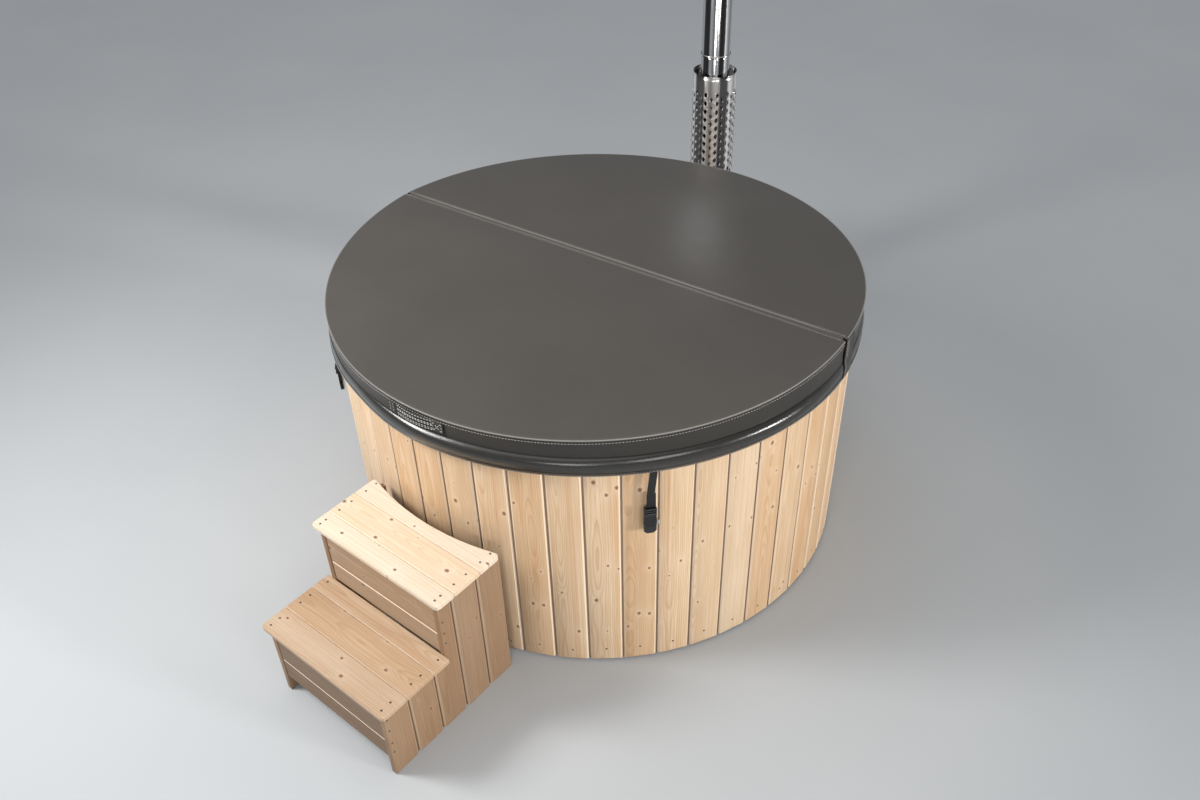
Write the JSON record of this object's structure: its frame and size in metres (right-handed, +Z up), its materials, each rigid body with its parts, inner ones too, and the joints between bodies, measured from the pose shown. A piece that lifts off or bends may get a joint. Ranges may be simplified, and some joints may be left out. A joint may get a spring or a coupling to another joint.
{
  "type": "hot tub",
  "caption": "Round boarded hot tub with a padded folding cover, buckled straps, a box step and an outside wood stove with a guarded chimney.",
  "frame": {"origin": "on the tub's axis at floor level, on the underside of the middle base bearer", "axes": "+Z up, +Y from the step towards the stove, +X along the cover's fold, to the right for someone who faces the tub from the step"},
  "size_m": [1.8786, 3.0807, 2.3833],
  "materials": {
    "spruce": "planed softwood, oiled",
    "treated_wood": "pressure-treated",
    "liner_gelcoat": "gloss gelcoat",
    "vinyl": "grained vinyl",
    "foam": "closed-cell foam",
    "webbing": "woven webbing",
    "black_plastic": "moulded, gloss",
    "stainless_steel": "polished",
    "black_iron": "heat-proof black",
    "valve_brass": "bare",
    "hose_rubber": "matte"
  },
  "bodies": {
    "tub": {"base_bearer_left": "treated_wood", "base_bearer_middle": "treated_wood", "base_bearer_right": "treated_wood", "base_deck": "treated_wood", "batten_ring_lower": "treated_wood", "batten_ring_upper": "treated_wood", "wall_boards_01": "spruce", "wall_boards_02": "spruce", "wall_boards_03": "spruce", "wall_boards_04": "spruce", "wall_boards_05": "spruce", "wall_boards_06": "spruce", "wall_boards_07": "spruce", "wall_boards_08": "spruce", "wall_boards_09": "spruce", "wall_boards_10": "spruce", "liner_shell": "liner_gelcoat", "drain_tailpipe": "black_plastic", "drain_valve_body": "valve_brass", "water_pipe_upper": "hose_rubber", "water_pipe_lower": "hose_rubber", "stove_casing": "stainless_steel", "stove_front": "stainless_steel", "stove_stand": "black_iron", "stove_hinge_pin": "stainless_steel", "fire_grate": "black_iron", "flue_collar": "stainless_steel", "chimney_pipe_lower": "stainless_steel", "chimney_pipe_upper": "stainless_steel", "chimney_guard": "stainless_steel", "rain_cap": "stainless_steel"},
    "cover_back": {"cover_back_jacket": "vinyl", "cover_back_core": "foam", "cover_back_skirt": "vinyl"},
    "cover_front": {"cover_front_jacket": "vinyl", "cover_front_core": "foam", "cover_front_skirt": "vinyl", "cover_handle": "webbing"},
    "strap_left": {"strap_left": "webbing", "buckle_prongs_left": "black_plastic"},
    "strap_right": {"strap_right": "webbing", "buckle_prongs_right": "black_plastic"},
    "buckle_left": {"buckle_body_left": "black_plastic"},
    "buckle_right": {"buckle_body_right": "black_plastic"},
    "stove_door": {"stove_door": "black_iron"},
    "door_latch": {"stove_latch_handle": "black_plastic"},
    "ash_drawer": {"ash_drawer": "stainless_steel"},
    "drain_handle": {"drain_valve_handle": "black_plastic"},
    "step": {"step_side_left": "spruce", "step_side_right": "spruce", "upper_tread_front": "spruce", "upper_tread_middle": "spruce", "upper_tread_rear": "spruce", "lower_tread_front": "spruce", "lower_tread_middle": "spruce", "lower_tread_rear": "spruce", "upper_riser_lower": "spruce", "upper_riser_upper": "spruce", "lower_riser_lower": "spruce", "lower_riser_upper": "spruce"}
  },
  "joints": [
    {"name": "cover_lift", "type": "slide", "parent": "tub", "child": "cover_back", "axis": [0, 0, 1], "range_m": [0, 0.3]},
    {"name": "cover_fold", "type": "hinge", "parent": "cover_back", "child": "cover_front", "pos_m": [0, 0.043, 1.012], "axis": [-1, 0, 0], "range_deg": [0, 175]},
    {"name": "strap_swing_left", "type": "hinge", "parent": "cover_front", "child": "strap_left", "pos_m": [-0.65706, -0.64795, 0.8551], "axis": [-0.7022, 0.712, 0], "range_deg": [0, 90]},
    {"name": "strap_swing_right", "type": "hinge", "parent": "cover_front", "child": "strap_right", "pos_m": [0.65706, -0.64795, 0.8551], "axis": [-0.7022, -0.712, 0], "range_deg": [0, 90]},
    {"name": "buckle_release_left", "type": "slide", "parent": "strap_left", "child": "buckle_left", "axis": [0, 0, -1], "range_m": [0, 0.034]},
    {"name": "buckle_release_right", "type": "slide", "parent": "strap_right", "child": "buckle_right", "axis": [0, 0, -1], "range_m": [0, 0.034]},
    {"name": "door_swing", "type": "hinge", "parent": "tub", "child": "stove_door", "pos_m": [-0.50758, 1.5373, 0.395], "axis": [0, 0, 1], "range_deg": [0, 110]},
    {"name": "latch_turn", "type": "hinge", "parent": "stove_door", "child": "door_latch", "pos_m": [-0.24443, 1.59776, 0.395], "axis": [-0.2181, 0.9759, 0], "range_deg": [0, 90]},
    {"name": "drawer_slide", "type": "slide", "parent": "tub", "child": "ash_drawer", "axis": [-0.2181, 0.9759, 0], "range_m": [0, 0.25]},
    {"name": "valve_turn", "type": "hinge", "parent": "tub", "child": "drain_handle", "pos_m": [0.5584, 0.76857, 0.1959], "axis": [0, 0, 1], "range_deg": [0, 90]},
    {"name": "step_pull", "type": "slide", "parent": "tub", "child": "step", "axis": [-0.0698, -0.9976, 0], "range_m": [0, 0.5]}
  ]
}
